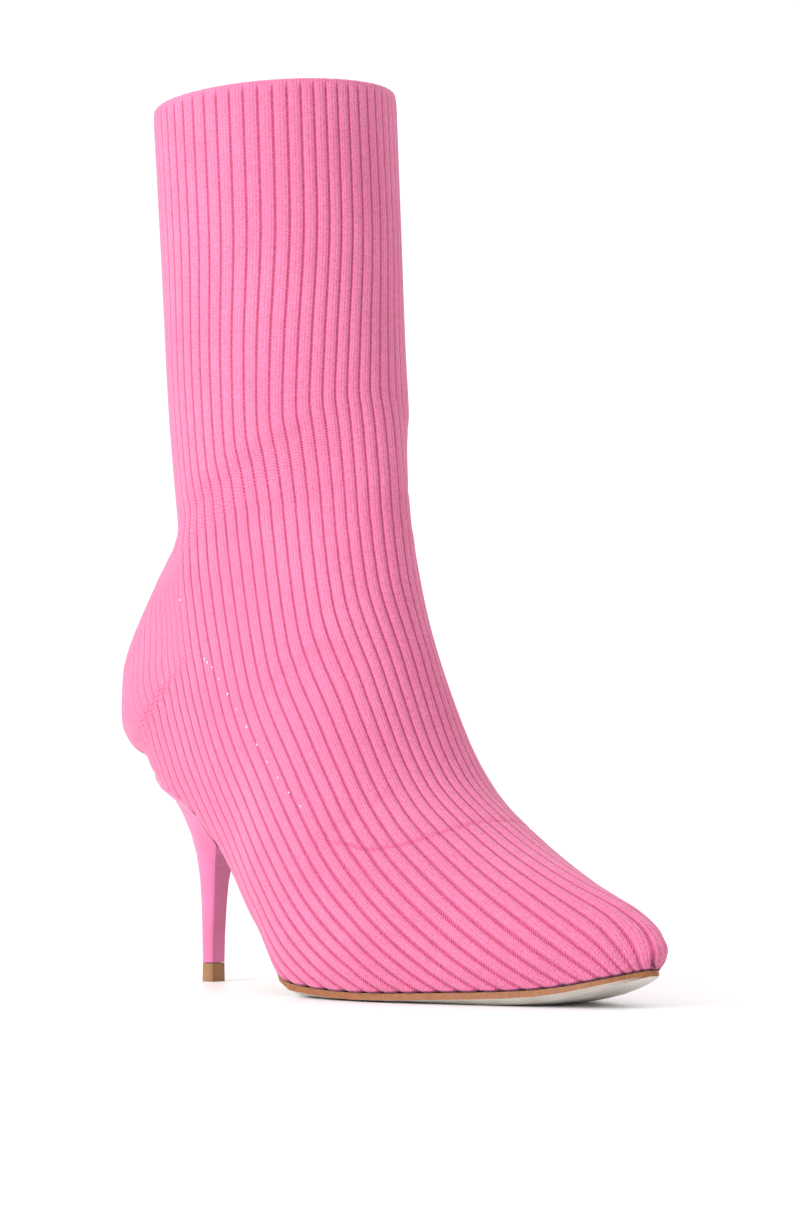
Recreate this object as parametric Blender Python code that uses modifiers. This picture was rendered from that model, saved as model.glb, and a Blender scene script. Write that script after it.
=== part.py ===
"""Pull-on sock boot for the right foot: a rib-knit upper on a slim high heel.

Metres. +X runs to the toe, +Z up, -Y is the outer side of the foot. The origin is under the heel, on
the floor that the top piece and the ball of the outsole stand on.
"""
import math

import bmesh
import bpy
import numpy as np

# Named sizes
LENGTH = 0.2535  # curve of the heel to the tip of the toe
BALL = 0.080  # greatest width of the foot
SEAT = 0.080  # floor to the seat of the heel
COLLAR = 0.306  # floor to the collar
WALL = 0.0020  # thickness of the knit
EDGE = 0.0022  # thickness of the outsole at its edge
BOARD = 0.0018  # thickness of the insole
GAP = 0.0003  # between neighbouring pieces
MARGIN = 0.0125  # edge of the outsole to its flat tread
LIP = 0.0022  # height of the heel cover's upright rim under the seat
NOSE = 0.0008  # how far the toe is rounded out past its first section
LIP_WIDTH = 0.985  # width of that rim's lower edge, as a share of its upper one
HALF = 20  # faces across half a section

# The upper's sections. Each lies in a plane that leans about Y, from its base on the sole's edge or
# the back of the leg to its ridge on the instep or the front of the leg.
# base x, ridge x: shares of LENGTH. base z: of SEAT. ridge z: of COLLAR. outer, inner: half widths,
# and base y, ridge y: the swing to the inner side, shares of BALL. feather: the base's width as a
# share of the section's. widest: how far up the section it is widest. crown, foot: roundness above
# and below that. steps: faces to the next row.
COLUMNS = "base_x base_z ridge_x ridge_z outer inner feather widest crown foot base_y ridge_y steps".split()
UPPER = {
    "toe tip": (0.829, 0.160, 0.838, 0.050, 0.024, 0.024, 0.70, 0.46, 2.00, 2.00, 0.117, 0.117, 1),
    "toe nose": (0.826, 0.157, 0.845, 0.064, 0.050, 0.050, 0.72, 0.45, 2.00, 2.00, 0.117, 0.117, 3),
    "toe cap": (0.816, 0.148, 0.826, 0.084, 0.089, 0.086, 0.78, 0.42, 2.00, 2.00, 0.114, 0.114, 3),
    "toe": (0.792, 0.127, 0.787, 0.103, 0.156, 0.147, 0.85, 0.38, 2.00, 2.00, 0.104, 0.109, 3),
    "toe joints": (0.706, 0.074, 0.697, 0.133, 0.280, 0.263, 0.88, 0.33, 2.00, 2.00, 0.078, 0.091, 3),
    "ball front": (0.595, 0.053, 0.583, 0.179, 0.403, 0.403, 0.90, 0.27, 2.00, 2.00, 0.046, 0.084, 3),
    "ball": (0.468, 0.040, 0.480, 0.240, 0.507, 0.494, 0.90, 0.25, 1.95, 2.00, 0.000, 0.078, 3),
    "waist": (0.349, 0.062, 0.439, 0.302, 0.533, 0.481, 0.88, 0.28, 1.90, 2.00, -0.013, 0.065, 4),
    "instep": (0.246, 0.299, 0.419, 0.359, 0.481, 0.449, 0.80, 0.32, 1.90, 2.00, -0.013, 0.039, 3),
    "arch": (0.148, 0.585, 0.403, 0.414, 0.429, 0.416, 0.78, 0.36, 1.90, 2.00, 0.000, 0.020, 3),
    "seat front": (0.045, 0.813, 0.393, 0.462, 0.403, 0.403, 0.78, 0.38, 1.95, 2.10, 0.000, 0.007, 2),
    "seat": (-0.049, 0.917, 0.385, 0.502, 0.397, 0.397, 0.52, 0.40, 2.00, 2.25, 0.000, 0.000, 2),
    "seat side": (-0.078, 0.953, 0.381, 0.515, 0.392, 0.392, 0.30, 0.42, 2.00, 2.35, 0.000, 0.000, 1),
    "seat corner": (-0.096, 0.972, 0.380, 0.523, 0.390, 0.390, 0.14, 0.42, 2.00, 2.50, 0.000, 0.000, 1),
    "seat back": (-0.111, 0.985, 0.379, 0.530, 0.402, 0.398, 0.00, 0.43, 2.00, 2.50, 0.000, 0.000, 2),
    "under heel": (-0.145, 1.070, 0.376, 0.548, 0.402, 0.398, 0.00, 0.44, 2.00, 2.35, 0.000, 0.000, 2),
    "heel curve": (-0.156, 1.262, 0.371, 0.574, 0.394, 0.390, 0.00, 0.45, 2.00, 2.10, 0.000, 0.000, 4),
    "heel top": (-0.098, 1.573, 0.367, 0.612, 0.384, 0.384, 0.00, 0.47, 2.00, 2.00, 0.000, 0.000, 2),
    "tendon": (-0.039, 1.801, 0.366, 0.636, 0.390, 0.388, 0.00, 0.48, 2.00, 1.90, 0.000, 0.000, 2),
    "ankle": (-0.020, 1.951, 0.368, 0.656, 0.416, 0.412, 0.00, 0.49, 2.00, 1.95, 0.000, 0.000, 3),
    "leg": (-0.032, 2.445, 0.348, 0.727, 0.442, 0.442, 0.00, 0.50, 2.00, 2.00, 0.000, 0.000, 2),
    "upper leg": (-0.039, 3.160, 0.328, 0.860, 0.468, 0.468, 0.00, 0.50, 2.00, 2.00, 0.000, 0.000, 2),
    "collar": (-0.049, 3.782, 0.312, 1.008, 0.490, 0.488, 0.00, 0.50, 2.00, 2.00, 0.000, 0.000, 0),
}
# The underside of the sole and seat along the foot. x: share of LENGTH. inset: how far its edge is
# inside the upper's, share of BALL. edge: its thickness at the edge, and belly: how far its middle
# hangs below the edge, shares of EDGE.
SOLE = {
    "breast": (0.090, 0.062, 1.00, 0.35),
    "arch": (0.200, 0.062, 1.00, 0.45),
    "waist": (0.290, 0.036, 1.00, 0.60),
    "tread": (0.345, 0.000, 1.00, 1.20),
    "ball": (0.470, 0.000, 1.00, 1.60),
    "ball front": (0.600, 0.000, 1.00, 1.60),
    "toe joints": (0.700, 0.000, 0.95, 1.10),
    "toe": (0.792, 0.000, 0.70, 0.60),
    "toe tip": (0.850, 0.000, 0.50, 0.20),
}
# The heel's rings from its seat to its tip, each from back to front. x, z and widths are shares of
# SEAT. half: greatest half width. breast: half width of its flat front.
HEEL = {
    "cup": (-0.248, 0.898, 0.190, 0.665, 0.172, 0.145),
    "flare": (-0.172, 0.795, 0.135, 0.610, 0.130, 0.094),
    "throat": (-0.116, 0.675, 0.095, 0.560, 0.094, 0.064),
    "neck": (-0.083, 0.570, 0.071, 0.505, 0.072, 0.047),
    "shank": (-0.064, 0.460, 0.058, 0.430, 0.060, 0.039),
    "lower shank": (-0.055, 0.350, 0.050, 0.340, 0.054, 0.035),
    "low": (-0.050, 0.200, 0.041, 0.197, 0.049, 0.033),
    "tip": (-0.047, 0.084, 0.038, 0.084, 0.048, 0.033),
}


def clear():
    """Empties the scene."""
    for item in list(bpy.data.objects):
        bpy.data.objects.remove(item, do_unlink=True)
    for held in list(bpy.data.collections):
        bpy.data.collections.remove(held)


def smooth(knots, values, at):
    """A curve through the values that doesn't overshoot them."""
    knots = np.asarray(knots, float)
    values = np.asarray(values, float)
    span = np.diff(knots)
    rise = np.diff(values) / span
    slope = np.zeros(len(values))
    slope[0] = rise[0]
    slope[-1] = rise[-1]
    for i in range(1, len(values) - 1):
        if rise[i - 1] * rise[i] > 0:
            near = 2 * span[i] + span[i - 1]
            far = span[i] + 2 * span[i - 1]
            slope[i] = (near + far) / (near / rise[i - 1] + far / rise[i])
    k = np.clip(np.searchsorted(knots, at, side="right") - 1, 0, len(span) - 1)
    t = np.clip((at - knots[k]) / span[k], 0, 1)
    start = (1 + 2 * t) * (1 - t) ** 2 * values[k] + t * (1 - t) ** 2 * span[k] * slope[k]
    end = t * t * (3 - 2 * t) * values[k + 1] + t * t * (t - 1) * span[k] * slope[k + 1]
    return start + end


def sections():
    """The upper's table in metres, with rows between its rows, as one list per column."""
    rows = np.array(list(UPPER.values()), float)
    at = [0.0]
    for i, steps in enumerate(rows[:-1, -1]):
        at += [i + (j + 1) / steps for j in range(int(steps))]
    table = {name: smooth(range(len(rows)), rows[:, i], np.array(at)) for i, name in enumerate(COLUMNS)}
    for name, size in (("base_x", LENGTH), ("ridge_x", LENGTH), ("base_z", SEAT), ("ridge_z", COLLAR)):
        table[name] = table[name] * size
    for name in ("outer", "inner", "base_y", "ridge_y"):
        table[name] = table[name] * BALL
    return table


def spaced(points, count):
    """The same line with its points an even way apart."""
    run = np.r_[0, np.cumsum(np.linalg.norm(np.diff(points, axis=0), axis=1))]
    even = np.linspace(0, run[-1], count + 1)
    return np.stack([np.interp(even, run, points[:, k]) for k in range(3)], 1)


def section(table, i):
    """One section of the upper, from its outer base over the ridge to its inner base."""
    row = {name: column[i] for name, column in table.items()}
    start = math.radians(32) * min(1.0, row["feather"] / 0.7)
    low = np.linspace(start, math.pi / 2, 60)
    high = np.linspace(0, math.pi / 2, 60)[1:]
    reach = np.sin(low) ** (2 / row["foot"])
    drop = np.cos(low).clip(0) ** (2 / row["foot"])
    width = row["feather"] + (1 - row["feather"]) * (reach - reach[0]) / (1 - reach[0])
    height = row["widest"] * (1 - drop / drop[0])
    width = np.r_[width, np.cos(high).clip(0) ** (2 / row["crown"])]
    height = np.r_[height, row["widest"] + (1 - row["widest"]) * np.sin(high) ** (2 / row["crown"])]
    middle = row["base_y"] + (row["ridge_y"] - row["base_y"]) * height ** 1.5
    sides = []
    for way, half in ((-1, row["outer"]), (1, row["inner"])):
        line = np.stack([
            row["base_x"] + (row["ridge_x"] - row["base_x"]) * height,
            middle + way * half * width,
            row["base_z"] + (row["ridge_z"] - row["base_z"]) * height,
        ], 1)
        sides.append(spaced(line, HALF))
    return np.concatenate([sides[0], sides[1][::-1][1:]])


def material(name, colour, roughness):
    """A plain material."""
    made = bpy.data.materials.new(name)
    made.use_nodes = True
    shader = made.node_tree.nodes["Principled BSDF"]
    shader.inputs["Base Color"].default_value = (*colour, 1)
    shader.inputs["Roughness"].default_value = roughness
    made.diffuse_color = (*colour, 1)
    return made


def solid(name, points, faces, look, parts):
    """An object of these faces, facing out."""
    mesh = bpy.data.meshes.new(name)
    mesh.from_pydata([tuple(map(float, p)) for p in points], [], faces)
    work = bmesh.new()
    work.from_mesh(mesh)
    bmesh.ops.recalc_face_normals(work, faces=work.faces)
    work.to_mesh(mesh)
    work.free()
    mesh.shade_smooth()
    mesh.materials.append(look)
    made = bpy.data.objects.new(name, mesh)
    parts.objects.link(made)
    return made


def make_upper(table, parts, look):
    """The knit wall: an open surface over the foot and leg, thickened inwards."""
    count = len(table["feather"])
    across = 2 * HALF
    points = []
    index = np.zeros((count, across + 1), int)
    for i in range(count):
        ring = section(table, i)
        closed = table["feather"][i] < 1e-9
        for j in range(across + 1):
            if closed and j == across:
                index[i, j] = index[i, 0]
            else:
                index[i, j] = len(points)
                points.append(ring[j])
    faces = []
    nose = (points[index[0, 0]] + points[index[0, across]]) / 2
    nose[0] = nose[0] + NOSE
    points.append(nose)
    for j in range(across):
        faces.append((len(points) - 1, int(index[0, j]), int(index[0, j + 1])))
    for i in range(count - 1):
        for j in range(across):
            faces.append(tuple(int(k) for k in (
                index[i, j], index[i, j + 1], index[i + 1, j + 1], index[i + 1, j])))
    made = solid("upper", points, faces, look, parts)
    # An open wall has no inside, so its front is the side that looks away from the leg's middle.
    first = made.data.polygons[-1]
    leg = (table["base_x"][-1] + table["ridge_x"][-1]) / 2
    outward = first.normal.x * (first.center.x - leg) + first.normal.y * first.center.y
    if outward < 0:
        made.data.flip_normals()
    wall = made.modifiers.new("wall", "SOLIDIFY")
    wall.thickness = WALL
    wall.offset = -1
    wall.use_rim = True
    wall.use_even_offset = True
    wall.use_quality_normals = True
    return made


def base_line(table):
    """The sole's edge: its run along the foot, x and z over that run, and its two sides."""
    last = int(np.argmax(table["feather"] < 1e-9))
    x = table["base_x"][: last + 1]
    z = table["base_z"][: last + 1]
    run = np.r_[0, np.cumsum(np.hypot(np.diff(x), np.diff(z)))]
    middle = table["base_y"][: last + 1]
    outer = middle - table["outer"][: last + 1] * table["feather"][: last + 1]
    inner = middle + table["inner"][: last + 1] * table["feather"][: last + 1]
    return run, x, z, outer, inner


def inside(run, outer, inner, inset):
    """The two sides moved in by the inset, as (run, y) pairs from the toe to the back."""
    loop = np.concatenate([np.stack([run, outer], 1), np.stack([run, inner], 1)[::-1]])
    inset = np.concatenate([inset, inset[::-1]])
    ahead = np.roll(loop, -1, 0) - loop
    behind = loop - np.roll(loop, 1, 0)
    way = ahead / np.linalg.norm(ahead, axis=1)[:, None].clip(1e-9)
    way = way + behind / np.linalg.norm(behind, axis=1)[:, None].clip(1e-9)
    way = way / np.linalg.norm(way, axis=1)[:, None].clip(1e-9)
    moved = loop + np.stack([-way[:, 1], way[:, 0]], 1) * inset[:, None]
    count = len(run)
    return moved[:count], moved[count:][::-1]


def placed(line, at, y, depth):
    """A point of the underside: along the foot, across it, and how deep below the upper's edge."""
    run, x, z = line[:3]
    here = np.array([np.interp(at, run, x), np.interp(at, run, z)])
    step = 0.004
    ahead = np.array([np.interp(at + step, run, x), np.interp(at + step, run, z)])
    behind = np.array([np.interp(at - step, run, x), np.interp(at - step, run, z)])
    way = (ahead - behind) / np.linalg.norm(ahead - behind)
    down = np.array([way[1], -way[0]])
    if down[1] > 0:
        down = -down
    return np.array([here[0] + down[0] * depth, y, here[1] + down[1] * depth])


def loft(name, rings, look, parts, caps):
    """A solid through closed rings that have as many points, with the faces given for its two ends."""
    points = np.concatenate(rings)
    size = len(rings[0])
    faces = []
    for i in range(len(rings) - 1):
        for j in range(size):
            k = (j + 1) % size
            faces.append((i * size + j, i * size + k, (i + 1) * size + k, (i + 1) * size + j))
    last = (len(rings) - 1) * size
    faces += [tuple(face) for face in caps[0]]
    faces += [tuple(last + k for k in face) for face in caps[1]]
    return solid(name, points, faces, look, parts)


def underside(x):
    """The sole's table at x: inset, edge and belly in metres."""
    rows = np.array(list(SOLE.values()), float)
    values = [smooth(rows[:, 0], rows[:, k], np.asarray(x) / LENGTH) for k in (1, 2, 3)]
    return values[0] * BALL, values[1] * EDGE, values[2] * EDGE


def seat_inset(x):
    """How far the heel's top is inside the upper's edge: not at all round the back of the seat."""
    full = SOLE["breast"][1] * BALL
    start = -0.02 * LENGTH
    end = SOLE["breast"][0] * LENGTH
    part = np.clip((x - start) / (end - start), 0, 1)
    return full * part * part * (3 - 2 * part)


def make_outsole(line, parts, look):
    """The sole from the toe to the breast, its belly cut flat where it stands."""
    run, x, z, outer, inner = line
    inset, edge, belly = underside(x)
    left, right = inside(run, outer, inner, inset + 0.0001)
    breast = SOLE["breast"][0] * LENGTH
    rings = []
    stations = [i for i in range(len(run)) if x[i] > breast + 0.004]
    end = float(np.interp(-breast, -x, run)) - GAP
    for i in [*stations, -1]:
        if i >= 0:
            sides = (left[i], right[i])
            rim, sag = edge[i], belly[i]
        else:
            sides = tuple(
                np.array([end, np.interp(end, side[:, 0], side[:, 1])]) for side in (left, right)
            )
            inset_end, rim, sag = (float(v) for v in underside(breast))
        width = sides[1][1] - sides[0][1]
        margin = min(MARGIN, width * 0.3)
        ring = []
        for side, way in ((sides[0], 1), (sides[1], -1)):
            column = [placed(line, side[0], side[1], GAP), placed(line, side[0], side[1], GAP + rim)]
            for part, hang in ((0.45, 0.75), (1.0, 1.0)):
                point = placed(line, side[0], side[1] + way * margin * part, GAP + rim + sag * hang)
                point[2] = max(0.0 if hang == 1.0 else 0.1 * EDGE, point[2])
                column.append(point)
            ring.append(column)
        rings.append(np.array(ring[0] + ring[1][::-1]))
    size = len(rings[0])
    return loft("outsole", rings, look, parts, ([range(size)], [range(size)]))


def make_insole(line, parts, look):
    """The board inside the upper, from the toe to the back of the seat."""
    run, x, z, outer, inner = line
    left, right = inside(run, outer, inner, np.full(len(run), WALL + 2 * GAP))
    keep = [i for i in range(len(run)) if right[i][1] - left[i][1] > 0.004]
    front = max(left[keep[0]][0], right[keep[0]][0])
    rings = []
    for i in keep:
        ring = []
        for side in (left[i], right[i]):
            at = max(side[0], front)
            ring.append([placed(line, at, side[1], 0.0), placed(line, at, side[1], -BOARD)])
        rings.append(np.array([ring[0][1], ring[0][0], ring[1][0], ring[1][1]]))
    return loft("insole", rings, look, parts, ([range(4)], [range(4)]))


def heel_ring(back, front, half, breast, count, nb):
    """A D-shaped ring that starts at the middle of its flat front."""
    depth = front[0] - back[0]
    wide = front[0] - 0.36 * depth
    turn = np.linspace(0, math.pi / 2, 40)
    corner = math.acos(min(1.0, breast / half))
    toward = np.linspace(corner, 0, 16)[:-1]
    side = [(wide + (front[0] - wide) * math.sin(a) / math.sin(corner), half * math.cos(a)) for a in toward]
    side += [(wide - (wide - back[0]) * math.sin(a), half * math.cos(a)) for a in turn]
    side = np.array([(*p, 0.0) for p in side])
    curve = spaced(side, count // 2 - nb)
    flat = [(front[0], breast * k / nb, 0.0) for k in range(nb)]
    right = np.array(flat + [tuple(p) for p in curve])
    left = right[1:-1][::-1] * np.array([1, -1, 1])
    ring = np.concatenate([right, left])
    rise = (ring[:, 0] - back[0]) / depth
    ring[:, 2] = back[1] + rise * (front[1] - back[1])
    return ring


def make_heel(line, parts, look):
    """The covered heel: its top follows the seat, and it thins to a D-shaped tip."""
    run, x, z, outer, inner = line
    count, nb = 44, 4
    breast = SOLE["breast"][0] * LENGTH
    left, right = inside(run, outer, inner, seat_inset(x))
    end = float(np.interp(-breast, -x, run)) + GAP
    path = []
    for side in (right, left):
        keep = side[side[:, 0] > end + 0.001]
        first = (end, np.interp(end, side[:, 0], side[:, 1]))
        path.append(np.array([(*p, 0.0) for p in [first, *keep]]))
    seat = [path[0][0] * np.array([1, k / nb, 1]) for k in range(nb)]
    seat += list(spaced(path[0], count // 2 - nb))
    seat += list(spaced(path[1], count // 2 - nb)[::-1][1:])
    seat += [path[1][0] * np.array([1, k / nb, 1]) for k in range(nb - 1, 0, -1)]
    rings = [np.array([placed(line, p[0], p[1], GAP) for p in seat])]
    lip = np.array([placed(line, p[0], p[1] * LIP_WIDTH, GAP + LIP) for p in seat])
    back = np.clip((0.07 * LENGTH - rings[0][:, 0]) / (0.14 * LENGTH), 0, 1)
    lip[:, 0] += back * (rings[0][:, 0] + GAP - lip[:, 0])
    rings.append(lip)
    for row in HEEL.values():
        bx, bz, fx, fz, half, flat = (v * SEAT for v in row)
        rings.append(heel_ring((bx, bz), (fx, fz), half, flat, count, nb))
    top = [[*range(count - nb, count), *range(nb + 2), count - nb - 1]]
    for k in range(nb + 1, count // 2 - 1):
        top.append([k, k + 1, count - k - 1, count - k])
    top.append([count // 2 - 1, count // 2, count // 2 + 1])
    return loft("heel", rings, look, parts, (top, [range(count)]))


def make_top_piece(parts, look):
    """The lift under the heel's tip."""
    row = HEEL["tip"]
    top = row[1] * SEAT - GAP
    rings = []
    for height, grow in ((top, 1.0), (0.0004, 1.02), (0.0, 0.99)):
        bx, fx, half, flat = (row[k] * SEAT * grow for k in (0, 2, 4, 5))
        rings.append(heel_ring((bx, height), (fx, height), half, flat, 44, 4))
    return loft("top_piece", rings, look, parts, ([range(44)], [range(44)]))


def build():
    """The whole boot."""
    clear()
    parts = bpy.data.collections.new("sock_boot")
    bpy.context.scene.collection.children.link(parts)
    knit = material("pink knit", (0.86, 0.16, 0.36), 0.9)
    cover = material("heel cover", (0.78, 0.25, 0.42), 0.45)
    tan = material("tan sole", (0.52, 0.25, 0.07), 0.5)
    board = material("insole board", (0.62, 0.45, 0.30), 0.8)
    lift = material("top piece", (0.30, 0.14, 0.07), 0.6)
    table = sections()
    line = base_line(table)
    make_upper(table, parts, knit)
    make_outsole(line, parts, tan)
    make_insole(line, parts, board)
    make_heel(line, parts, cover)
    make_top_piece(parts, lift)


build()
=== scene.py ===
"""The look of the pink rib-knit sock boot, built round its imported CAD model.

Metres, in the part's own frame: +X to the toe, +Z up, -Y the outer side of the right foot. The knit is
a grid over the boot's sections. A place on it is a row, which counts the sections from the toe (0) to
the collar (22), and a run s across it, in metres from the ridge, negative on the outer side.
"""

import math

import bpy
import numpy as np
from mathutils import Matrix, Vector


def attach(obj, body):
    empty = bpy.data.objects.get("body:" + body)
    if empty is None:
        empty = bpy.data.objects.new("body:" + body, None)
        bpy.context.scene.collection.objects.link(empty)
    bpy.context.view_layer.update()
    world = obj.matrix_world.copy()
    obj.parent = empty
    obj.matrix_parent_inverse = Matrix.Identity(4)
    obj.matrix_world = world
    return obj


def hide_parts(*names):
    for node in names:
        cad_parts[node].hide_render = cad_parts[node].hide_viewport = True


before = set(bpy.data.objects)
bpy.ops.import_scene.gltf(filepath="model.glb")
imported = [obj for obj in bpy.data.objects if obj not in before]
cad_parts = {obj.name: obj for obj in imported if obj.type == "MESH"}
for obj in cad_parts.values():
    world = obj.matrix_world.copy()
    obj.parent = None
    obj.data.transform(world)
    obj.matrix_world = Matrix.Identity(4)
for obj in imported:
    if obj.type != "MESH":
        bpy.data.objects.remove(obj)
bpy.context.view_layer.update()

# The boot's sizes, as in the part
LENGTH = 0.2535  # curve of the heel to the tip of the toe
BALL = 0.080  # greatest width of the foot
SEAT = 0.080  # floor to the seat of the heel
COLLAR = 0.306  # floor to the collar
WALL = 0.0020  # thickness of the knit
THIN = 0.030  # half length of a section under which its wall gets thinner
NOSE = 0.0008  # how far the toe is rounded out past its first section

# The upper's sections: each is a row of shares of the sizes above. They are the part's, but for those
# from the seat to the leg, which follow the photo more closely. There the front lies up to 2.3 mm
# further in at the ankle and 1.3 mm further out over the heel, the back lies up to 1.0 mm further in
# and the half widths differ by up to 0.6 mm.
COLUMNS = "base_x base_z ridge_x ridge_z outer inner feather widest crown foot base_y ridge_y".split()
SCALES = (LENGTH, SEAT, LENGTH, COLLAR, BALL, BALL, 1, 1, 1, 1, BALL, BALL)
UPPER = {
    "toe tip": (0.829, 0.160, 0.838, 0.050, 0.024, 0.024, 0.70, 0.46, 2.00, 2.00, 0.117, 0.117),
    "toe nose": (0.826, 0.157, 0.845, 0.064, 0.050, 0.050, 0.72, 0.45, 2.00, 2.00, 0.117, 0.117),
    "toe cap": (0.816, 0.148, 0.826, 0.084, 0.089, 0.086, 0.78, 0.42, 2.00, 2.00, 0.114, 0.114),
    "toe": (0.792, 0.127, 0.787, 0.103, 0.156, 0.147, 0.85, 0.38, 2.00, 2.00, 0.104, 0.109),
    "toe joints": (0.706, 0.074, 0.697, 0.133, 0.280, 0.263, 0.88, 0.33, 2.00, 2.00, 0.078, 0.091),
    "ball front": (0.595, 0.053, 0.583, 0.179, 0.403, 0.403, 0.90, 0.27, 2.00, 2.00, 0.046, 0.084),
    "ball": (0.468, 0.040, 0.480, 0.240, 0.507, 0.494, 0.90, 0.25, 1.95, 2.00, 0.000, 0.078),
    "waist": (0.349, 0.062, 0.439, 0.302, 0.533, 0.481, 0.88, 0.28, 1.90, 2.00, -0.013, 0.065),
    "instep": (0.246, 0.299, 0.419, 0.359, 0.481, 0.449, 0.80, 0.32, 1.90, 2.00, -0.013, 0.039),
    "arch": (0.148, 0.585, 0.403, 0.414, 0.429, 0.416, 0.78, 0.36, 1.90, 2.00, 0.000, 0.020),
    "seat front": (0.045, 0.813, 0.393, 0.462, 0.403, 0.403, 0.78, 0.38, 1.95, 2.10, 0.000, 0.007),
    "seat": (-0.049, 0.917, 0.386, 0.502, 0.399, 0.399, 0.52, 0.40, 2.00, 2.25, 0.000, 0.000),
    "seat side": (-0.078, 0.953, 0.384, 0.515, 0.398, 0.397, 0.30, 0.42, 2.00, 2.35, 0.000, 0.000),
    "seat corner": (-0.096, 0.972, 0.382, 0.523, 0.398, 0.396, 0.14, 0.42, 2.00, 2.45, 0.000, 0.000),
    "seat back": (-0.111, 0.985, 0.381, 0.530, 0.398, 0.395, 0.00, 0.43, 2.00, 2.45, 0.000, 0.000),
    "under heel": (-0.142, 1.070, 0.379, 0.548, 0.397, 0.394, 0.00, 0.44, 2.00, 2.35, 0.000, 0.000),
    "heel curve": (-0.152, 1.262, 0.376, 0.574, 0.394, 0.390, 0.00, 0.45, 2.00, 2.10, 0.000, 0.000),
    "heel top": (-0.098, 1.573, 0.370, 0.612, 0.384, 0.384, 0.00, 0.47, 2.00, 2.00, 0.000, 0.000),
    "tendon": (-0.039, 1.801, 0.365, 0.636, 0.390, 0.388, 0.00, 0.48, 2.00, 1.90, 0.000, 0.000),
    "ankle": (-0.018, 1.951, 0.359, 0.656, 0.416, 0.412, 0.00, 0.49, 2.00, 1.95, 0.000, 0.000),
    "leg": (-0.029, 2.445, 0.344, 0.727, 0.442, 0.442, 0.00, 0.50, 2.00, 2.00, 0.000, 0.000),
    "upper leg": (-0.039, 3.160, 0.328, 0.860, 0.468, 0.468, 0.00, 0.50, 2.00, 2.00, 0.000, 0.000),
    "collar": (-0.049, 3.782, 0.312, 1.008, 0.490, 0.488, 0.00, 0.50, 2.00, 2.00, 0.000, 0.000),
}
SEAT_BACK = list(UPPER).index("seat back")  # the first section that closes at the back
TOP = len(UPPER) - 1

# The grooves between the ribs. Their pitch is wider on the sides than on the ridge, wider again at the
# toe, and narrower along the side of the heel. The leg has fewer ribs than the heel.
FIRST_GROOVE = ((0, 3, 5, 8, 10, 19, 20, 21, 22), (-8, -2, 1, 2, 5, 5, 2, -2, -3))  # millimetres, by row
PITCH = ((0, 15, 35, 70, 200), (4.1, 4.2, 5.2, 5.4, 5.2))  # millimetres, by millimetres of run
WIDEN = ((0, 1, 2, 3, 4, 6), (2.6, 2.4, 1.7, 1.3, 1.1, 1.0))  # of the pitch, by row
SQUEEZE = ((8, 10, 14, 16, 18), (0, 1, 1.5, 2.5, 0))  # millimetres off the pitch, by row
SQUEEZE_RUN = 102  # millimetres of run where the pitch is narrowest
SQUEEZE_WIDTH = 12  # millimetres
CLOSE_RUN = 0.095  # run past which the pitch gives way so that the ribs meet at the back
FOOT_RIBS = 38  # on each side of the heel
LEG_RIBS = 27  # on each side of the leg
HEEL_TOP = 17.0  # the row where the heel's ribs give way to the leg's
TOE_END = 5.0  # the row where the toe's piece of knit ends
FOOT_END = 9.0  # the row where the foot's piece ends
RIM_ROW = TOP - 0.021  # where the rounded rim of the collar starts
LINING_TOP = TOP - 0.1  # the row where the lining ends, inside the collar
JOIN_ROWS = (12.5, 14)  # where the ribs begin to meet at the back, and where all of them do
ACROSS = 348  # faces across half of the knit
RIB_DEPTH = 0.00050  # foot of a groove to the side of a rib
CROWN = 0.34  # how much further out the middle of a rib is, as a share of that depth
LEVEL = 0.72  # share of the depth that lies under the bare surface
GROOVE = 0.125  # half a groove's width, as a share of the pitch
WIDER = 0.05  # how much wider it is low on the foot
FINE_PITCH = (0.0018, 0.0042)  # pitch at which ribs are plainest, and at which they are full
COURSE = 0.0008  # height of a row of stitches
HEM = 0.0022  # height over which the ribs fade out at the collar
HEM_GAP = 0.0012  # height of the plain strip above that
EDGE_BAND = (0.0009, 0.0003)  # height where the painted shade along the knit's lower edge, at its join with the sole, starts, and where it is full
EDGE_ROWS = (9, 10.5)  # where that edge begins to fade, and where it is gone
EDGE_SHADE = 0.9  # how dark it is

# Plainer parts of the knit, each as the run where it starts and is full, the rows where it starts, is
# full, begins to end and is gone, and how plain it is
PLAIN_PARTS = (
    ((0.088, 0.110), (12, 15, 17.5, 20), 0.45),  # back of the heel and the ankle
    ((0.126, 0.145), (11.5, 13, 15.5, 16.5), 0.8),  # back corner of the seat
)
TURN_RUN = (0.090, 0.102)  # the same where the heel's ribs give way to the leg's
TURN_ROWS = 0.35
TURN_PLAIN = 0.92

# Seam across the vamp and soft creases, each through marks of (row, millimetres of run). Their troughs
# are also darkened in colour as painted shade.
VAMP_SEAM = ((5.2, -2), (5.3, -14), (5.5, -28), (6.0, -46), (6.6, -56), (6.9, -66))
CREASES = (
    ((15.5, -8), (16.0, -28), (16.8, -64)),
    ((9.1, -26), (9.4, -44), (9.6, -62)),
    ((6.1, -20), (6.5, -42), (7.0, -68)),
    ((5.8, -46), (6.1, -62)),
)
SEAM_TROUGH = (0.00038, 0.0006, 1.0)  # depth, half width and darkness of the painted shade in the trough
CREASE_TROUGH = (0.00028, 0.0022, 0.12)
STITCH_LINE = ((7.5, 9.5, 11.5, 16), (-62, -75, -88, -97))  # millimetres of run, by row
STITCH_ROWS = (15.9, *np.linspace(11.6, 7.6, 12))
STITCH = 0.00045  # half the length of a stitch
THREAD = 0.00022  # half its thickness, and how far its middle lies off the bare surface

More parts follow.
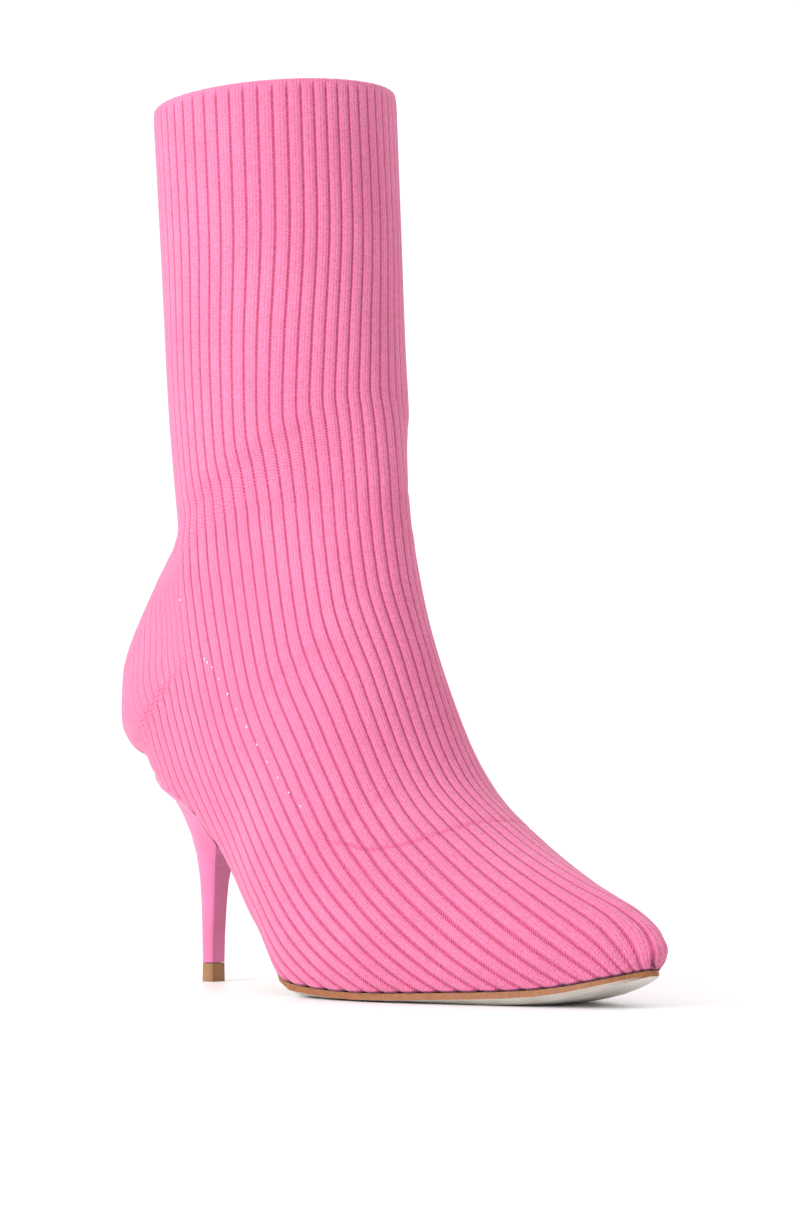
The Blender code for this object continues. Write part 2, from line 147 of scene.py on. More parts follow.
# The camera's place: it looks at a point from an angle round the boot.
AIM = Vector((0.09962, 0.0, 0.1300))
AZIMUTH = math.radians(48.778)
ELEVATION = math.radians(-1.803)
DISTANCE = 1.38055
FOCAL = 4131.2 / 1209 * 36  # millimetres on a 36 mm sensor along the frame's long side


def smooth(knots, values, at):
    """A curve through the values that doesn't overshoot them."""
    knots = np.asarray(knots, float)
    values = np.asarray(values, float)
    span = np.diff(knots)
    rise = np.diff(values) / span
    slope = np.zeros(len(values))
    slope[0] = rise[0]
    slope[-1] = rise[-1]
    for i in range(1, len(values) - 1):
        if rise[i - 1] * rise[i] > 0:
            near = 2 * span[i] + span[i - 1]
            far = span[i] + 2 * span[i - 1]
            slope[i] = (near + far) / (near / rise[i - 1] + far / rise[i])
    k = np.clip(np.searchsorted(knots, at, side="right") - 1, 0, len(span) - 1)
    t = np.clip((at - knots[k]) / span[k], 0, 1)
    start = (1 + 2 * t) * (1 - t) ** 2 * values[k] + t * (1 - t) ** 2 * span[k] * slope[k]
    end = t * t * (3 - 2 * t) * values[k + 1] + t * t * (t - 1) * span[k] * slope[k + 1]
    return start + end


def ease(low, high, value):
    """0 below low, 1 above high and a soft step between them."""
    part = np.clip((value - low) / (high - low), 0, 1)
    return part * part * (3 - 2 * part)


def table_at(at):
    """The sections' table at these rows, in metres, as one column per name."""
    rows = np.array(list(UPPER.values()), float)
    knots = np.arange(len(rows))
    return {
        name: smooth(knots, rows[:, i], at) * SCALES[i] for i, name in enumerate(COLUMNS)
    }


def halves(at):
    """Both halves of the sections at these rows, each from its base to the ridge."""
    table = {name: column[:, None] for name, column in table_at(at).items()}
    start = math.radians(32) * np.minimum(1, table["feather"] / 0.7)
    part = np.linspace(0, 1, 60)[None, :]
    low = start + (math.pi / 2 - start) * part
    high = math.pi / 2 * part[:, 1:]
    reach = np.sin(low) ** (2 / table["foot"])
    drop = np.cos(low).clip(0) ** (2 / table["foot"])
    feather = table["feather"]
    widest = table["widest"]
    width = feather + (1 - feather) * (reach - reach[:, :1]) / (1 - reach[:, :1])
    height = widest * (1 - drop / drop[:, :1])
    upper_width = np.cos(high).clip(0) ** (2 / table["crown"])
    upper_height = widest + (1 - widest) * np.sin(high) ** (2 / table["crown"])
    width = np.concatenate([width, upper_width], 1)
    height = np.concatenate([height, upper_height], 1)
    middle = table["base_y"] + (table["ridge_y"] - table["base_y"]) * height ** 1.5
    sides = []
    for way, size in ((-1, "outer"), (1, "inner")):
        sides.append(np.stack([
            table["base_x"] + (table["ridge_x"] - table["base_x"]) * height,
            middle + way * table[size] * width,
            table["base_z"] + (table["ridge_z"] - table["base_z"]) * height,
        ], 2))
    return sides


def surface(at, across=ACROSS):
    """The bare surface as a grid from the outer base over the ridge to the inner base.

    Gives its points and each point's run s.
    """
    points = np.zeros((len(at), 2 * across + 1, 3))
    run = np.zeros((len(at), 2 * across + 1))
    for way, side in zip((-1, 1), halves(at)):
        for i, line in enumerate(side):
            line = line[::-1]
            along = np.r_[0, np.cumsum(np.linalg.norm(np.diff(line, axis=0), axis=1))]
            even = np.linspace(0, along[-1], across + 1)
            part = np.stack([np.interp(even, along, line[:, k]) for k in range(3)], 1)
            if way < 0:
                points[i, across::-1] = part
                run[i, across::-1] = -even
            else:
                points[i, across:] = part
                run[i, across:] = even
    return points, run


def closed(at):
    """Which of these rows close at the back."""
    return np.asarray(at) >= SEAT_BACK - 1e-6


def normals(points, shut):
    """Outward unit normals of a grid, smooth across the back where its rows are closed."""
    across = np.gradient(points, axis=1)
    join = points[:, 1] - points[:, -2]
    across[shut, 0] = join[shut] / 2
    across[shut, -1] = join[shut] / 2
    along = np.gradient(points, axis=0)
    out = np.cross(across, along)
    return out / np.linalg.norm(out, axis=2)[:, :, None].clip(1e-12)


def rows_between(first, last, step):
    """Rows from first to last that lie about a step apart at the base or the ridge."""
    fine = np.linspace(first, last, 600)
    table = table_at(fine)
    base = np.hypot(np.diff(table["base_x"]), np.diff(table["base_z"]))
    ridge = np.hypot(np.diff(table["ridge_x"]), np.diff(table["ridge_z"]))
    gone = np.r_[0, np.cumsum(np.maximum(base, ridge))]
    count = max(2, int(round(gone[-1] / step)))
    return np.interp(np.linspace(0, gone[-1], count + 1), gone, fine)


def half_lengths(run):
    """The length of the half of its row that each point of a grid lies on."""
    return np.where(run < 0, np.abs(run[:, :1]), np.abs(run[:, -1:]))


def wall_depth(half):
    """The wall's thickness in sections of these half lengths: thinner in the tip of the toe."""
    return WALL * np.clip(half / THIN, 0.3, 1)


def ribs(at, run):
    """The rib count over a grid, and the ribs' pitch: a groove lies at each whole number."""
    count = np.zeros(run.shape)
    total = LEG_RIBS if at.mean() > HEEL_TOP else FOOT_RIBS
    fine = np.linspace(0, 200, 801)
    narrow = np.exp(-((fine - SQUEEZE_RUN) / SQUEEZE_WIDTH) ** 2)
    for i, row in enumerate(at):
        pitch = (smooth(*PITCH, fine) - smooth(*SQUEEZE, row) * narrow) * smooth(*WIDEN, row)
        passed = np.r_[0, np.cumsum(np.diff(fine) / pitch[1:])]
        start = -smooth(*FIRST_GROOVE, row) / pitch[0]
        for way in (-1, 1):
            mine = run[i] * way >= 0
            far = np.abs(run[i][mine])
            half = far.max()
            lack = (total - np.interp(half * 1000, fine, passed)) * ease(*JOIN_ROWS, row)
            back = np.clip((far - CLOSE_RUN) / max(half - CLOSE_RUN, 0.001), 0, 1)
            count[i, mine] = start - way * (np.interp(far * 1000, fine, passed) + lack * back)
    pitch = np.abs(np.gradient(run, axis=1) / np.gradient(count, axis=1).clip(None, -1e-6))
    return count, pitch


def polyline_distance(points, line):
    """Distance from each point of a grid to a polyline, and how far along it the nearest place is."""
    best = np.full(points.shape[:2], 1.0)
    where = np.zeros(points.shape[:2])
    for k, (a, b) in enumerate(zip(line[:-1], line[1:])):
        way = b - a
        part = np.clip(((points - a) @ way) / (way @ way), 0, 1)
        gap = np.linalg.norm(points - a - part[:, :, None] * way, axis=2)
        nearer = gap < best
        best = np.where(nearer, gap, best)
        where = np.where(nearer, (k + part) / (len(line) - 1), where)
    return best, where


def place(row, run):
    """A point on the bare surface, and its normal, at a row and a run in metres."""
    at = np.array([row - 0.02, row, row + 0.02])
    points, runs = surface(at, 120)
    out = normals(points, closed(at))
    spot = [np.interp(run, runs[1], points[1, :, k]) for k in range(3)]
    way = [np.interp(run, runs[1], out[1, :, k]) for k in range(3)]
    return np.array(spot), np.array(way)


def trace(marks, side=1):
    """Points on the surface along a smooth line through marks of (row, millimetres of run)."""
    rows, runs = np.array(marks, float).T
    fine = np.linspace(runs[0], runs[-1], 24)
    at = smooth(-runs, rows, -fine)
    return np.array([place(row, run * 0.001 * side)[0] for row, run in zip(at, fine)])


def marked_lines():
    """The seam and the creases as lines of points, with depth, half width and darkness of the painted
    shade of each.
    """
    seam = [trace(VAMP_SEAM, side) for side in (1, -1)]
    seam = np.concatenate([seam[0][::-1], seam[1]])
    lines = [(seam, *SEAM_TROUGH)]
    for marks in CREASES:
        for side in (1, -1):
            lines.append((trace(marks, side), *CREASE_TROUGH))
    return lines


LINES = marked_lines()


def valley_share(at, run):
    """Half the groove's width, as a share of the pitch: wider low on the foot."""
    low = ease(0.15, 0.65, np.abs(run) / half_lengths(run)) * (1 - ease(6.8, 9, at))[:, None]
    return GROOVE + WIDER * low


def relief(at, points, run, count, pitch):
    """How far the knit stands out from the bare surface.

    Gives that, half the grooves' width, how strong the painted shade in the seam's and creases' troughs
    is and how plain the ribs are.
    """
    gap = np.abs(count - np.round(count))
    share = valley_share(at, run)
    rib = ease(share * 0.35, share * 1.30, gap)
    crown = np.sin(np.clip((gap - share) / (0.5 - share), 0, 1) * math.pi / 2)
    row = at[:, None]
    far = np.abs(run)
    turn = ease(*TURN_RUN, far) * np.exp(-((row - HEEL_TOP) / TURN_ROWS) ** 2)
    clear = 1 - TURN_PLAIN * turn
    for runs, rows, much in PLAIN_PARTS:
        part = ease(*runs, far) * ease(*rows[:2], row) * (1 - ease(*rows[2:], row))
        clear = clear * (1 - much * part)
    plain = 1 - clear * (0.25 + 0.75 * ease(*FINE_PITCH, pitch))
    table = table_at(np.r_[at, TOP])
    height = (table["ridge_z"] + table["base_z"])[:, None] / 2
    plain = 1 - (1 - plain) * ease(HEM_GAP, HEM_GAP + HEM, height[-1] - height[:-1])
    depth = RIB_DEPTH * (1 - plain) * (0.35 + 0.65 * ease(0.0, 2.5, row))
    seat = ease(9, 11, row) * (1 - ease(13.2, 14, row))
    depth = depth * (1 - seat * (1 - ease(0.0005, 0.0050, half_lengths(run) - far)))
    out = depth * (rib - LEVEL) + depth * CROWN * crown * rib
    # painted shade: the seam's and creases' troughs are darkened in colour
    dark = np.zeros(run.shape)
    for line, deep, wide, shade in LINES:
        gone, where = polyline_distance(points, line)
        fade = ease(0, 0.12, where) * (1 - ease(0.88, 1, where))
        trough = np.exp(-(gone / wide) ** 2) * fade
        out = out - deep * trough
        dark = np.maximum(dark, shade * np.exp(-(gone / (wide * 1.1)) ** 2) * fade)
    return out, share, dark, plain


def courses(points, anchor):
    """How far along the ribs each point of a grid lies, counted from its anchor row."""
    across = np.gradient(points, axis=1)
    across = across / np.linalg.norm(across, axis=2)[:, :, None].clip(1e-12)
    step = np.diff(points, axis=0)
    side = (step * across[1:]).sum(2)[:, :, None] * across[1:]
    gone = np.cumsum(np.linalg.norm(step - side, axis=2), axis=0)
    gone = np.concatenate([np.zeros((1, points.shape[1])), gone])
    return gone - gone[anchor]


def make_mesh(name, points, shut, out=None, maps=None, values=None, material=None):
    """A grid as one mesh, welded at the back where its rows are closed."""
    rows, across = points.shape[:2]
    index = np.arange(rows * across).reshape(rows, across)
    corner = np.stack([index[:-1, :-1], index[:-1, 1:], index[1:, 1:], index[1:, :-1]], 2)
    corner = corner.reshape(-1)
    welded = index.copy()
    welded[shut, -1] = welded[shut, 0]
    used, tidy = np.unique(welded, return_inverse=True)
    tidy = tidy.reshape(-1)
    mesh = bpy.data.meshes.new(name)
    mesh.vertices.add(len(used))
    mesh.vertices.foreach_set("co", points.reshape(-1, 3)[used].ravel())
    mesh.loops.add(len(corner))
    mesh.loops.foreach_set("vertex_index", tidy[corner].astype(np.int32))
    mesh.polygons.add(len(corner) // 4)
    mesh.polygons.foreach_set("loop_start", np.arange(0, len(corner), 4, dtype=np.int32))
    mesh.update(calc_edges=True)
    mesh.shade_smooth()
    for title, pair in (maps or {}).items():
        layer = mesh.uv_layers.new(name=title)
        flat = np.stack([part.reshape(-1)[corner] for part in pair], 1)
        layer.data.foreach_set("uv", flat.ravel().astype(np.float32))
    for title, value in (values or {}).items():
        held = mesh.attributes.new(title, "FLOAT", "POINT")
        held.data.foreach_set("value", value.reshape(-1)[used].astype(np.float32))
    if out is not None:
        mesh.normals_split_custom_set_from_vertices(out.reshape(-1, 3)[used].tolist())
    made = bpy.data.objects.new(name, mesh)
    bpy.context.scene.collection.objects.link(made)
    if material:
        mesh.materials.append(material)
    return made


def bake_map(rows, across):
    """A map that lays a grid out flat over the whole square."""
    u = np.linspace(0.004, 0.996, across)[None, :].repeat(rows, 0)
    v = np.linspace(0.004, 0.996, rows)[:, None].repeat(across, 1)
    return u, v


# Materials


class Nodes:
    """Short calls for building a material's node tree."""

    def __init__(self, name):
        self.material = bpy.data.materials.new(name)
        self.material.use_nodes = True
        self.tree = self.material.node_tree
        self.shader = self.tree.nodes["Principled BSDF"]

    def add(self, kind, **settings):
        node = self.tree.nodes.new(kind)
        for key, value in settings.items():
            setattr(node, key, value)
        return node

    def put(self, value, socket):
        if isinstance(value, bpy.types.NodeSocket):
            self.tree.links.new(value, socket)
        elif isinstance(value, tuple) and len(value) == 3 and socket.type == "RGBA":
            socket.default_value = (*value, 1)
        else:
            socket.default_value = value

    def math(self, kind, a, b=0.0, c=0.0):
        node = self.add("ShaderNodeMath", operation=kind)
        for socket, value in zip(node.inputs, (a, b, c)):
            self.put(value, socket)
        return node.outputs[0]

    def soft(self, value, low, high, start=0.0, end=1.0):
        node = self.add("ShaderNodeMapRange", interpolation_type="SMOOTHSTEP")
        for socket, part in zip(node.inputs, (value, low, high, start, end)):
            self.put(part, socket)
        return node.outputs[0]

    def mix(self, share, a, b):
        node = self.add("ShaderNodeMix", data_type="RGBA")
        self.put(share, node.inputs[0])
        self.put(a, node.inputs[6])
        self.put(b, node.inputs[7])
        return node.outputs[2]

    def shade(self, colour, factor):
        node = self.add("ShaderNodeMix", data_type="RGBA", blend_type="MULTIPLY")
        self.put(1.0, node.inputs[0])
        self.put(colour, node.inputs[6])
        grey = self.add("ShaderNodeCombineColor")
        for socket in grey.inputs:
            self.put(factor, socket)
        self.put(grey.outputs[0], node.inputs[7])
        return node.outputs[2]

    def value(self, title):
        return self.add("ShaderNodeAttribute", attribute_name=title).outputs["Fac"]

    def noise(self, size, detail=2.0, rough=0.5):
        node = self.add("ShaderNodeTexNoise")
        place_node = self.add("ShaderNodeTexCoord")
        self.put(place_node.outputs["Object"], node.inputs["Vector"])
        self.put(1 / size, node.inputs["Scale"])
        self.put(detail, node.inputs["Detail"])
        self.put(rough, node.inputs["Roughness"])
        return node.outputs["Fac"]

    def bump(self, height, distance, strength=1.0, under=None):
        node = self.add("ShaderNodeBump")
        self.put(height, node.inputs["Height"])
        self.put(distance, node.inputs["Distance"])
        self.put(strength, node.inputs["Strength"])
        if under is not None:
            self.put(under, node.inputs["Normal"])
        return node.outputs[0]

    def set(self, **values):
        for key, value in values.items():
            self.put(value, self.shader.inputs[key.replace("_", " ")])
        return self.material


PINK = (0.600, 0.143, 0.272)
# the lighter pink serves both for the knit's random lighter tone and for the painted highlight on the
# rib edges
LIGHT_PINK_AND_HIGHLIGHT = (0.670, 0.215, 0.355)
# deeper pinks that paint shade into the grooves, the seam and the creases
GROOVE_SHADE_PINK = (0.590, 0.112, 0.245)
DEEP_SHADE_PINK = (0.480, 0.052, 0.160)
# dark purple painted as shade where the knit meets the sole
JOIN_SHADE_PURPLE = (0.060, 0.010, 0.040)


def knit_material():
    """Rib knit: flat ribs of fine wales with a painted highlight along their edges, and grooves crossed
    by small rungs, coloured a deeper pink as painted shade.
    """
    n = Nodes("rib knit")
    knit = n.add("ShaderNodeUVMap", uv_map="knit")
    parts = n.add("ShaderNodeSeparateXYZ")
    n.put(knit.outputs[0], parts.inputs[0])
    count, along = parts.outputs[0], parts.outputs[1]
    share = n.value("valley")
    gap = n.math("PINGPONG", count, 0.5)
    clear = n.math("SUBTRACT", 1.0, n.value("plain"))
    groove = n.soft(n.math("SUBTRACT", gap, share), 0.045, -0.075)
    groove = n.math("MULTIPLY", groove, clear)
    rung = n.math("MULTIPLY", n.math("PINGPONG", along, 0.5), 2.0)
    # painted highlight: a lighter band along each rib's edge beside the groove
    rib_edge_highlight = n.math("ABSOLUTE", n.math("SUBTRACT", n.math("SUBTRACT", gap, share), 0.05))
    rib_edge_highlight = n.soft(rib_edge_highlight, 0.045, 0.0)
    wale = n.math("MULTIPLY", n.math("PINGPONG", n.math("MULTIPLY", count, 4.0), 0.5), 2.0)
    vee = n.math("PINGPONG", n.math("ADD", along, n.math("MULTIPLY", wale, 0.45)), 0.5)
    vee = n.math("MULTIPLY", vee, 2.0)
    fuzz = n.noise(0.0010, 3.0, 0.7)
    cloud = n.noise(0.035, 2.0, 0.5)
    rib_colour = n.mix(n.soft(cloud, 0.35, 0.65), PINK, n.mix(0.25, PINK, LIGHT_PINK_AND_HIGHLIGHT))
    rib_colour = n.mix(n.math("MULTIPLY", rib_edge_highlight, 0.45), rib_colour, LIGHT_PINK_AND_HIGHLIGHT)
    stitch = n.math("MULTIPLY", n.math("ADD", wale, vee), 0.5)
    rib_colour = n.shade(rib_colour, n.soft(stitch, 0.10, 0.80, 0.78, 1.12))
    # painted shade: the grooves are a deeper pink, deepest between the rungs
    groove_shade_colour = n.mix(n.soft(rung, 0.35, 0.75), GROOVE_SHADE_PINK, DEEP_SHADE_PINK)
    colour = n.mix(groove, rib_colour, groove_shade_colour)
    colour = n.shade(colour, n.soft(fuzz, 0.32, 0.68, 0.86, 1.12))
    # painted shade darkens the seam's and creases' troughs
    colour = n.mix(n.math("MULTIPLY", n.value("seam"), 0.55), colour, DEEP_SHADE_PINK)
    # painted shade: the knit's lowest edge turns dark purple at its join with the sole
    colour = n.mix(n.value("edge"), colour, JOIN_SHADE_PURPLE)
    fine = n.bump(stitch, 0.00024, 0.8)
    fine = n.bump(rung, 0.00030, n.math("MULTIPLY", groove, 0.9), fine)
    fine = n.bump(fuzz, 0.00022, 0.8, fine)
    return n.set(
        Base_Color=colour, Roughness=0.88, Normal=fine, Specular_IOR_Level=0.25,
        Sheen_Weight=0.30, Sheen_Roughness=0.45, Sheen_Tint=(1.0, 0.72, 0.86),
    )


def lining_material():
    """The knit's inner face, a little paler and without ribs."""
    n = Nodes("knit lining")
    fuzz = n.noise(0.0008, 3.0, 0.6)
    colour = n.mix(n.soft(fuzz, 0.3, 0.7), (0.58, 0.11, 0.25), (0.70, 0.19, 0.36))
    return n.set(
        Base_Color=colour, Roughness=0.9, Normal=n.bump(fuzz, 0.0003, 0.7),
        Specular_IOR_Level=0.2, Sheen_Weight=0.3, Sheen_Roughness=0.5,
    )


def cover_material():
    """The heel's smooth pink cover, with a satin finish and a very fine grain."""
    n = Nodes("heel cover")
    grain = n.noise(0.0005, 4.0, 0.6)
    cloud = n.noise(0.012, 2.0, 0.5)
    colour = n.mix(n.soft(cloud, 0.3, 0.7), (0.56, 0.13, 0.28), (0.62, 0.155, 0.32))
    rough = n.soft(grain, 0.2, 0.8, 0.36, 0.46)
    return n.set(
        Base_Color=colour, Roughness=rough, Normal=n.bump(grain, 0.00004, 0.5),
        Specular_IOR_Level=0.45,
    )


def sole_material():
    """Tan sole: a waxed edge with grain, and an underside coloured pale grey as a painted reflection of
    the white floor.
    """
    n = Nodes("tan sole")
    grain = n.noise(0.0009, 4.0, 0.65)
    cloud = n.noise(0.010, 3.0, 0.5)
    geometry = n.add("ShaderNodeNewGeometry")
    parts = n.add("ShaderNodeSeparateXYZ")
    n.put(geometry.outputs["Normal"], parts.inputs[0])
    # painted reflection: faces that turn down are coloured pale grey like the white floor they reflect
    under = n.soft(n.math("MULTIPLY", parts.outputs[2], -1.0), 0.55, 0.90)
    edge = n.mix(n.soft(grain, 0.3, 0.7), (0.195, 0.060, 0.013), (0.275, 0.098, 0.022))
    floor_reflection = n.mix(n.soft(cloud, 0.3, 0.7), (0.50, 0.46, 0.42), (0.60, 0.56, 0.52))
    colour = n.mix(under, edge, floor_reflection)
    return n.set(
        Base_Color=colour, Roughness=n.soft(cloud, 0.3, 0.7, 0.36, 0.52),
        Normal=n.bump(grain, 0.00008, 0.6), Specular_IOR_Level=0.5,
    )


def board_material():
    """The insole's beige leather."""
    n = Nodes("insole leather")
    grain = n.noise(0.0012, 5.0, 0.65)
    cloud = n.noise(0.02, 2.0, 0.5)
    colour = n.mix(n.soft(cloud, 0.3, 0.7), (0.52, 0.36, 0.23), (0.62, 0.45, 0.31))
    return n.set(
        Base_Color=colour, Roughness=n.soft(grain, 0.2, 0.8, 0.5, 0.7),
        Normal=n.bump(grain, 0.00015, 0.7),
    )


def lift_material():
    """The tan-brown rubber of the top piece, with fine moulded grain."""
    n = Nodes("top piece rubber")
    grain = n.noise(0.0006, 5.0, 0.7)
    colour = n.mix(n.soft(grain, 0.3, 0.7), (0.22, 0.105, 0.040), (0.31, 0.155, 0.065))
    return n.set(
        Base_Color=colour, Roughness=n.soft(grain, 0.2, 0.8, 0.5, 0.7),
        Normal=n.bump(grain, 0.0001, 0.8),
    )


def thread_material(name, colour):
    """Plain sewing thread with a soft shine."""
    n = Nodes(name)
    twist = n.noise(0.0003, 2.0, 0.5)
    return n.set(
        Base_Color=n.shade(colour, n.soft(twist, 0.2, 0.8, 0.85, 1.0)), Roughness=0.45,
        Normal=n.bump(twist, 0.0001, 0.5), Sheen_Weight=0.2,
    )


def floor_material():
    """White studio floor with a slight gloss."""
    n = Nodes("studio floor")
    cloud = n.noise(0.4, 2.0, 0.5)
    colour = n.mix(cloud, (0.900, 0.900, 0.905), (0.905, 0.905, 0.905))
    return n.set(Base_Color=colour, Roughness=0.42, Specular_IOR_Level=0.25)


KNIT = knit_material()
LINING = lining_material()


# Pieces


def knit_piece(name, first, last, step, anchor, cap=False, rim=False):
    """The knit between two rows, with its ribs, seam and creases in the mesh."""
    rows = rows_between(first, last, step)
    before = max(0.0, first - (rows[1] - rows[0]))
    after = min(TOP, last + (rows[-1] - rows[-2]))
    at = np.r_[before, rows, after] if after > last else np.r_[before, rows]
    at = at[1:] if before >= first else at
    points, run = surface(at)
    shut = closed(at)
    out = normals(points, shut)
    count, pitch = ribs(at, run)
    stand, share, dark, plain = relief(at, points, run, count, pitch)
    full = points + out * stand[:, :, None]
    facing = normals(full, shut)
    along = courses(points, int(round(anchor * (len(at) - 1)))) / COURSE
    # painted shade along the knit's lower edge where it meets the sole
    edge = ease(*EDGE_BAND, half_lengths(run) - np.abs(run))
    edge = edge * (1 - ease(*EDGE_ROWS, at))[:, None] * EDGE_SHADE
    keep = slice(int(before < first), len(at) - int(after > last))
    grids = [full, facing, count, along, share, dark, edge, plain]
    grids = [grid[keep] for grid in grids]
    shut = shut[keep]
    if cap:
        grids, shut = with_cap(grids, shut)
    if rim:
        grids, shut = with_rim(grids, shut, points[keep][-1], out[keep][-1])
    full, facing, count, along, share, dark, edge, plain = grids
    made = make_mesh(
        name, full, shut, facing,
        {"OFBake": bake_map(*count.shape), "knit": (count, along)},
        {"valley": share, "seam": dark, "edge": edge, "plain": plain}, KNIT,
    )
    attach(made, "root")
    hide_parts("upper")


def with_cap(grids, shut, steps=5):
    """Adds rows that round off the tip of the toe in front of the first row."""
    full = grids[0]
    nose = (full[0, 0] + full[0, -1]) / 2
    rows = []
    for k in range(steps, 0, -1):
        turn = math.pi / 2 * k / steps
        row = nose + (full[0] - nose) * max(math.cos(turn), 0.02)
        row = row + np.array([NOSE * math.sin(turn), 0, 0])
        rows.append(row)
    full = np.concatenate([np.array(rows), full])
    made = [full, normals(full, np.zeros(len(full), bool))]
    made[1][steps + 1:] = grids[1][1:]
    for grid in grids[2:]:
        made.append(np.concatenate([np.repeat(grid[:1], steps, 0), grid]))
    return made, np.r_[np.zeros(steps, bool), shut]


def with_rim(grids, shut, base, out, steps=6, inner=6, inner_step=0.0015):
    """Adds the rounded rim of the collar and a strip of its inner face after the last row."""
    full = grids[0]
    up = full[-1] - full[-2]
    up = up / np.linalg.norm(up, axis=1)[:, None]
    radius = WALL / 2
    rows = []
    ways = []
    for k in range(1, steps + 1):
        turn = math.pi * k / steps
        way = out * math.cos(turn) + up * math.sin(turn)
        rows.append(base - out * radius + way * radius)
        ways.append(way)
    for k in range(1, inner + 1):
        rows.append(base - out * WALL - up * inner_step * k)
        ways.append(-out)
    count = len(rows)
    made = [np.concatenate([full, np.array(rows)]), np.concatenate([grids[1], np.array(ways)])]
    for k, grid in enumerate(grids[2:]):
        more = np.repeat(grid[-1:], count, 0)
        if k == 1:
            more = more + 0.6 * np.arange(1, count + 1)[:, None]
        made.append(np.concatenate([grid, more]))
    return made, np.r_[shut, np.ones(count, bool)]


def make_lining():
    """The inner face of the knit, one wall's thickness inside it."""
    at = rows_between(1.0, SEAT_BACK, 0.0035)
    at = np.r_[at, rows_between(SEAT_BACK, LINING_TOP, 0.004)[1:]]
    points, run = surface(at, 90)
    out = normals(points, closed(at))
    inner = points - out * wall_depth(half_lengths(run))[:, :, None]
    grid = bake_map(*run.shape)
    made = make_mesh(
        "lining", inner[::-1], closed(at)[::-1], -out[::-1], {"OFBake": grid}, None, LINING
    )
    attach(made, "root")


def make_feather():
    """The turned-in edge of the knit along the sole, which closes the wall's lower end. Along the foot
    it is coloured dark purple as painted shade at the join with the sole.
    """
    n = Nodes("knit edge")
    weave = n.noise(0.0005, 3.0, 0.6)
    colour = n.mix(n.soft(weave, 0.3, 0.7), JOIN_SHADE_PURPLE, (0.10, 0.02, 0.06))
    n.set(Base_Color=colour, Roughness=0.9, Normal=n.bump(weave, 0.0002, 0.6))
    spans = (("foot", 0.0, 9.5, n.material), ("seat", 9.5, SEAT_BACK - 0.02, LINING))
    for part, first, last, material in spans:
        at = rows_between(first, last, 0.0012)
        points, run = surface(at)
        out = normals(points, closed(at))
        stand = relief(at, points, run, *ribs(at, run))[0]
        for side, name in ((0, "outer"), (-1, "inner")):
            base = points[:, side]
            way = out[:, side]
            depth = wall_depth(np.abs(run[:, side]))
            lines = [base + way * stand[:, side][:, None], base - way * 0.0006]
            lines.append(base - way * depth[:, None])
            grid = np.stack(lines, 1)
            grid[:, 1] -= np.array([0, 0, 0.00012])
            if side == 0:
                grid = grid[:, ::-1]
            piece = make_mesh(
                f"feather_{part}_{name}", grid, np.zeros(len(at), bool), None,
                {"OFBake": bake_map(*grid.shape[:2])}, None, material,
            )
            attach(piece, "root")


def make_stitches():
    """Small stitches of white thread along both sides of the boot."""
    look = thread_material("white thread", (0.85, 0.78, 0.82))
    rng = np.random.default_rng(7)
    points = []
    faces = []
    turns = 8
    for side in (1, -1):
        for row in STITCH_ROWS:
            run = smooth(*STITCH_LINE, row)
            spot, out = place(row, run * 0.001 * side)
            ahead = place(row - 0.1, run * 0.001 * side)[0] - spot
            ahead = ahead / np.linalg.norm(ahead)
            across = np.cross(out, ahead)
            long = STITCH * rng.uniform(0.7, 1.3)
            first = len(points)
            for k in range(7):
                part = -1 + 2 * k / 6
                girth = THREAD * math.sqrt(max(0.0, 1 - part * part)) + 0.00002
                for j in range(turns):
                    turn = 2 * math.pi * j / turns
                    ring = across * math.cos(turn) + out * math.sin(turn)
                    points.append(spot + out * THREAD + ahead * long * part + ring * girth)
            for k in range(6):
                for j in range(turns):
                    a = first + k * turns + j
                    b = first + k * turns + (j + 1) % turns
                    faces.append((a, b, b + turns, a + turns))
            faces.append(tuple(first + j for j in range(turns - 1, -1, -1)))
            faces.append(tuple(first + 6 * turns + j for j in range(turns)))
    mesh = bpy.data.meshes.new("side_stitches")
    mesh.from_pydata([tuple(map(float, p)) for p in points], [], faces)
    mesh.shade_smooth()
    mesh.materials.append(look)
    made = bpy.data.objects.new("side_stitches", mesh)
    bpy.context.scene.collection.objects.link(made)
    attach(made, "root")


def dress(node, material):
    """Gives a CAD node that keeps its shape a better material."""
    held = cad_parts[node].data.materials
    for k in range(len(held)):
        held[k] = material


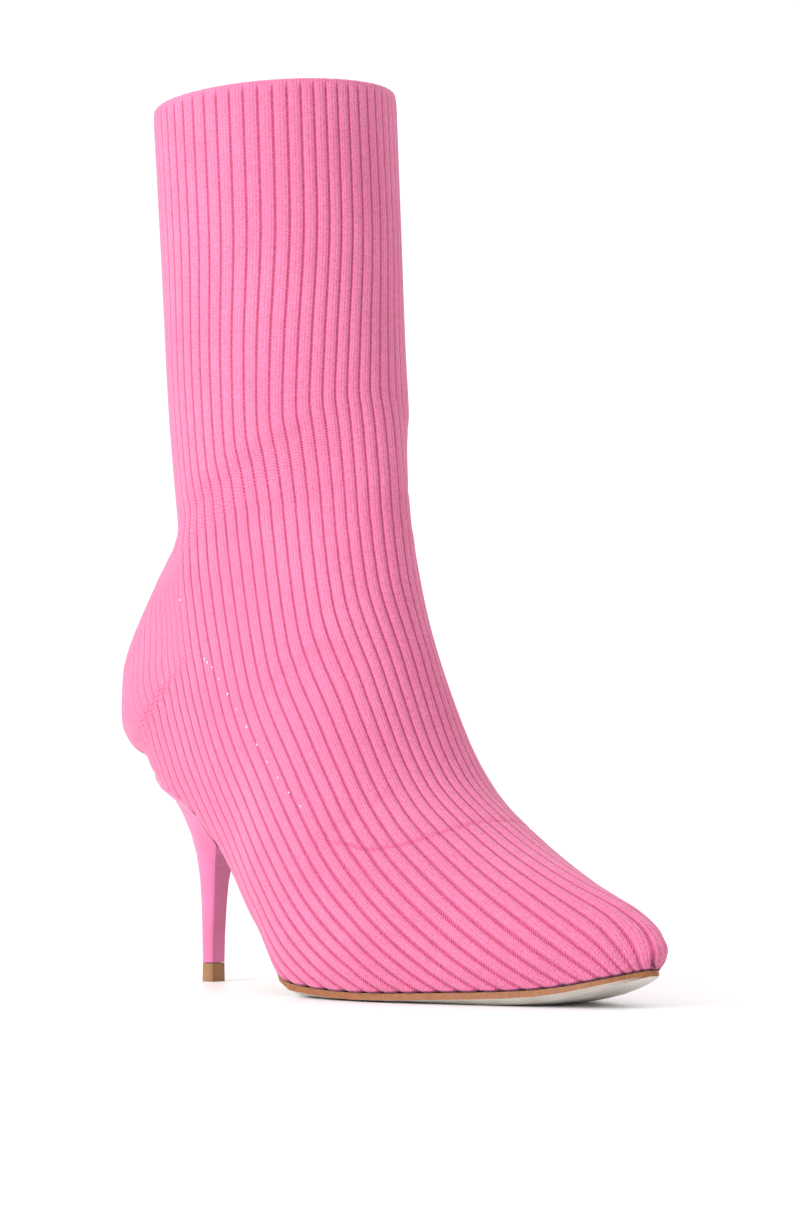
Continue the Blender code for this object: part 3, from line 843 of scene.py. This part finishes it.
def make_stage():
    """White floor and surroundings, a key light from the front left, a top light and the camera."""
    mesh = bpy.data.meshes.new("floor")
    size = 6.0
    mesh.from_pydata(
        [(-size, -size, 0), (size, -size, 0), (size, size, 0), (-size, size, 0)], [], [(0, 1, 2, 3)]
    )
    mesh.materials.append(floor_material())
    floor = bpy.data.objects.new("floor", mesh)
    bpy.context.scene.collection.objects.link(floor)
    world = bpy.data.worlds.new("white studio")
    world.use_nodes = True
    back = world.node_tree.nodes["Background"]
    back.inputs["Color"].default_value = (1.0, 1.0, 1.0, 1)
    back.inputs["Strength"].default_value = 1.12
    bpy.context.scene.world = world
    bpy.context.scene.view_settings.view_transform = "Standard"
    bpy.context.scene.view_settings.look = "None"
    left = Vector((-math.cos(AZIMUTH), -math.sin(AZIMUTH), 0))
    front = Vector((math.sin(AZIMUTH), -math.cos(AZIMUTH), 0))
    lights = (
        ("key", left * 1.05 + front * 0.80 + Vector((0, 0, 0.60)), 0.8, 19.0, (1.0, 0.985, 0.97)),
        ("top", front * 0.25 + Vector((0, 0, 1.5)), 0.9, 2.0, (1.0, 1.0, 1.0)),
    )
    for name, spot, size, power, colour in lights:
        lamp = bpy.data.lights.new(name, "AREA")
        lamp.shape = "SQUARE"
        lamp.size = size
        lamp.energy = power
        lamp.color = colour
        made = bpy.data.objects.new(name, lamp)
        made.location = Vector((0.06, 0, 0)) + spot
        way = Vector((0.06, 0, 0.13)) - made.location
        made.rotation_mode = "QUATERNION"
        made.rotation_quaternion = way.to_track_quat("-Z", "Y")
        bpy.context.scene.collection.objects.link(made)
    lens = bpy.data.cameras.new("camera")
    lens.lens = FOCAL
    lens.sensor_width = 36
    lens.clip_start = 0.05
    lens.clip_end = 60
    camera = bpy.data.objects.new("camera", lens)
    rise = math.sin(ELEVATION)
    away = Vector((math.sin(AZIMUTH), -math.cos(AZIMUTH), 0)) * math.cos(ELEVATION)
    away = away + Vector((0, 0, rise))
    camera.location = AIM + away * DISTANCE
    camera.rotation_mode = "QUATERNION"
    camera.rotation_quaternion = (-away).to_track_quat("-Z", "Y")
    bpy.context.scene.collection.objects.link(camera)
    bpy.context.scene.camera = camera


knit_piece("knit_toe", 0.0, TOE_END, step=0.0012, anchor=0.5, cap=True)
knit_piece("knit_foot", TOE_END, FOOT_END, step=0.0012, anchor=0.5)
knit_piece("knit_heel", FOOT_END, HEEL_TOP, step=0.0013, anchor=0.4)
knit_piece("knit_leg", HEEL_TOP, RIM_ROW, step=0.0016, anchor=1.0, rim=True)
make_lining()
make_feather()
make_stitches()
dress("outsole", sole_material())
dress("insole", board_material())
dress("heel", cover_material())
dress("top_piece", lift_material())
make_stage()
